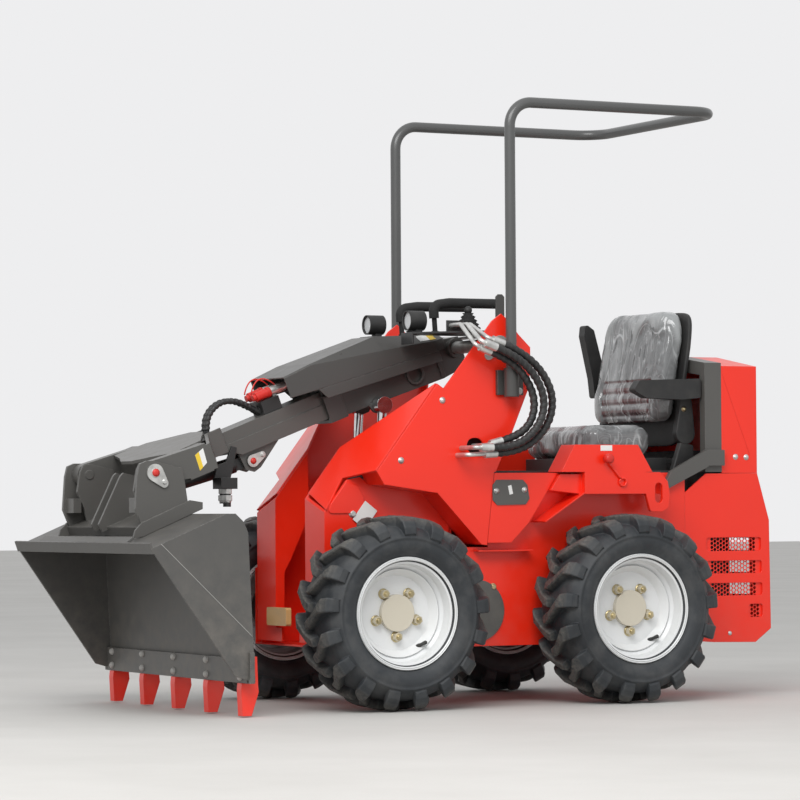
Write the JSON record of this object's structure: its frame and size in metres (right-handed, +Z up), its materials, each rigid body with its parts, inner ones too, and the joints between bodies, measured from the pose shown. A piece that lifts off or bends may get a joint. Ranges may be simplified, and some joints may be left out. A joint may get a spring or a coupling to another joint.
{
  "type": "skid steer loader",
  "caption": "Small wheeled skid steer loader with a telescopic boom, toothed bucket, open seat and roll bar.",
  "frame": {"origin": "middle of the bounding box at ground level, under the tyres", "axes": "+X forward to the bucket, +Y to the machine's left, +Z up"},
  "size_m": [2.264, 1.0896, 1.868],
  "materials": {
    "red_paint": "gloss",
    "dark_paint": "satin",
    "black_paint": "satin",
    "silver_paint": "satin",
    "steel": "satin",
    "chrome": "polished",
    "tyre": "matt",
    "black_plastic": "matt",
    "seat_cover": "grained",
    "hose_rubber": "matt",
    "amber_plastic": "gloss",
    "iron": "rough",
    "red_rubber": "satin",
    "lamp_glass": "gloss"
  },
  "bodies": {
    "chassis": {"hull": "red_paint", "towers": "red_paint", "tower_covers": "red_paint", "side_boxes": "red_paint", "access_plates": "dark_paint", "fenders": "red_paint", "deck": "black_paint", "engine_block": "iron", "rear_panels": "red_paint", "hood": "red_paint", "grilles": "red_paint", "guard_frame": "dark_paint", "seat_base": "black_paint", "seat_shell": "black_plastic", "seat_cushion": "seat_cover", "seat_back": "seat_cover", "rops_frame": "black_paint", "rops_sockets": "dark_paint", "console": "black_paint", "control_bars": "black_plastic", "joystick": "black_plastic", "headlamps": "black_plastic", "lamp_lenses": "lamp_glass", "marker_block": "amber_plastic", "wheel_motors": "iron", "pivot_shaft": "steel", "hose_pipes": "steel", "loop_hose_outer": "hose_rubber", "loop_hose_middle": "hose_rubber", "loop_hose_inner": "hose_rubber"},
    "boom": {"boom_outer": "dark_paint", "boom_cover": "dark_paint"},
    "inner_boom": {"boom_inner": "dark_paint", "boom_head": "dark_paint", "boom_fittings": "dark_paint", "aux_couplers": "steel", "coupler_caps": "red_rubber", "boom_hose_left": "hose_rubber", "boom_hose_right": "hose_rubber"},
    "bucket": {"coupler": "dark_paint", "coupler_pins": "steel", "bucket_shell": "dark_paint", "cutting_edge": "dark_paint", "bucket_teeth": "red_paint"},
    "tilt_cylinder": {"tilt_barrel": "black_paint"},
    "tilt_cylinder_rod": {"tilt_rod": "chrome"},
    "lift_cylinders": {"lift_barrels": "black_paint"},
    "lift_cylinder_rods": {"lift_rods": "chrome"},
    "armrest_left": {"armrest_left": "black_plastic"},
    "armrest_right": {"armrest_right": "black_plastic"},
    "wheel_front_left": {"tyre_front_left": "tyre", "wheel_front_left": "silver_paint"},
    "wheel_front_right": {"tyre_front_right": "tyre", "wheel_front_right": "silver_paint"},
    "wheel_rear_left": {"tyre_rear_left": "tyre", "wheel_rear_left": "silver_paint"},
    "wheel_rear_right": {"tyre_rear_right": "tyre", "wheel_rear_right": "silver_paint"}
  },
  "joints": [
    {"name": "front_left_roll", "type": "hinge", "parent": "chassis", "child": "wheel_front_left", "pos_m": [0.297, 0.422, 0.292], "axis": [0, 1, 0], "continuous": true},
    {"name": "front_right_roll", "type": "hinge", "parent": "chassis", "child": "wheel_front_right", "pos_m": [0.297, -0.422, 0.292], "axis": [0, 1, 0], "continuous": true},
    {"name": "rear_left_roll", "type": "hinge", "parent": "chassis", "child": "wheel_rear_left", "pos_m": [-0.513, 0.422, 0.292], "axis": [0, 1, 0], "continuous": true},
    {"name": "rear_right_roll", "type": "hinge", "parent": "chassis", "child": "wheel_rear_right", "pos_m": [-0.513, -0.422, 0.292], "axis": [0, 1, 0], "continuous": true},
    {"name": "boom_lift", "type": "hinge", "parent": "chassis", "child": "boom", "pos_m": [-0.113, 0, 1.107], "axis": [0, -1, 0], "range_deg": [-16, 50]},
    {"name": "boom_extend", "type": "slide", "parent": "boom", "child": "inner_boom", "axis": [0.9336, 0, -0.3584], "range_m": [0, 0.35]},
    {"name": "bucket_tilt", "type": "hinge", "parent": "inner_boom", "child": "bucket", "pos_m": [1.012, 0, 0.713], "axis": [0, 1, 0], "range_deg": [-115, 0]},
    {"name": "tilt_cylinder_swing", "type": "hinge", "parent": "inner_boom", "child": "tilt_cylinder", "pos_m": [0.58207, 0, 0.75235], "axis": [0, -1, 0], "range_deg": [0, 3.8]},
    {"name": "tilt_cylinder_stroke", "type": "slide", "parent": "tilt_cylinder", "child": "tilt_cylinder_rod", "axis": [0.9619, 0, -0.2734], "range_m": [0, 0.1975]},
    {"name": "lift_cylinder_swing", "type": "hinge", "parent": "chassis", "child": "lift_cylinders", "pos_m": [0.192, 0, 0.33], "axis": [0, -1, 0], "range_deg": [-6.1, 2]},
    {"name": "lift_cylinder_stroke", "type": "slide", "parent": "lift_cylinders", "child": "lift_cylinder_rods", "axis": [-0.0637, 0, 0.998], "range_m": [-0.0802, 0.2502]},
    {"name": "left_armrest_fold", "type": "hinge", "parent": "chassis", "child": "armrest_left", "pos_m": [-0.836, 0.242, 0.985], "axis": [0, -1, 0], "range_deg": [0, 80]},
    {"name": "right_armrest_fold", "type": "hinge", "parent": "chassis", "child": "armrest_right", "pos_m": [-0.836, -0.242, 0.985], "axis": [0, -1, 0], "range_deg": [-80, 0]}
  ],
  "couplings": [
    {"joint": "tilt_cylinder_swing", "follows": "bucket_tilt", "ratio": -0.0325},
    {"joint": "tilt_cylinder_stroke", "follows": "bucket_tilt", "m_per_rad": -0.0982},
    {"joint": "lift_cylinder_swing", "follows": "boom_lift", "ratio": -0.12},
    {"joint": "lift_cylinder_stroke", "follows": "boom_lift", "m_per_rad": 0.2865}
  ]
}
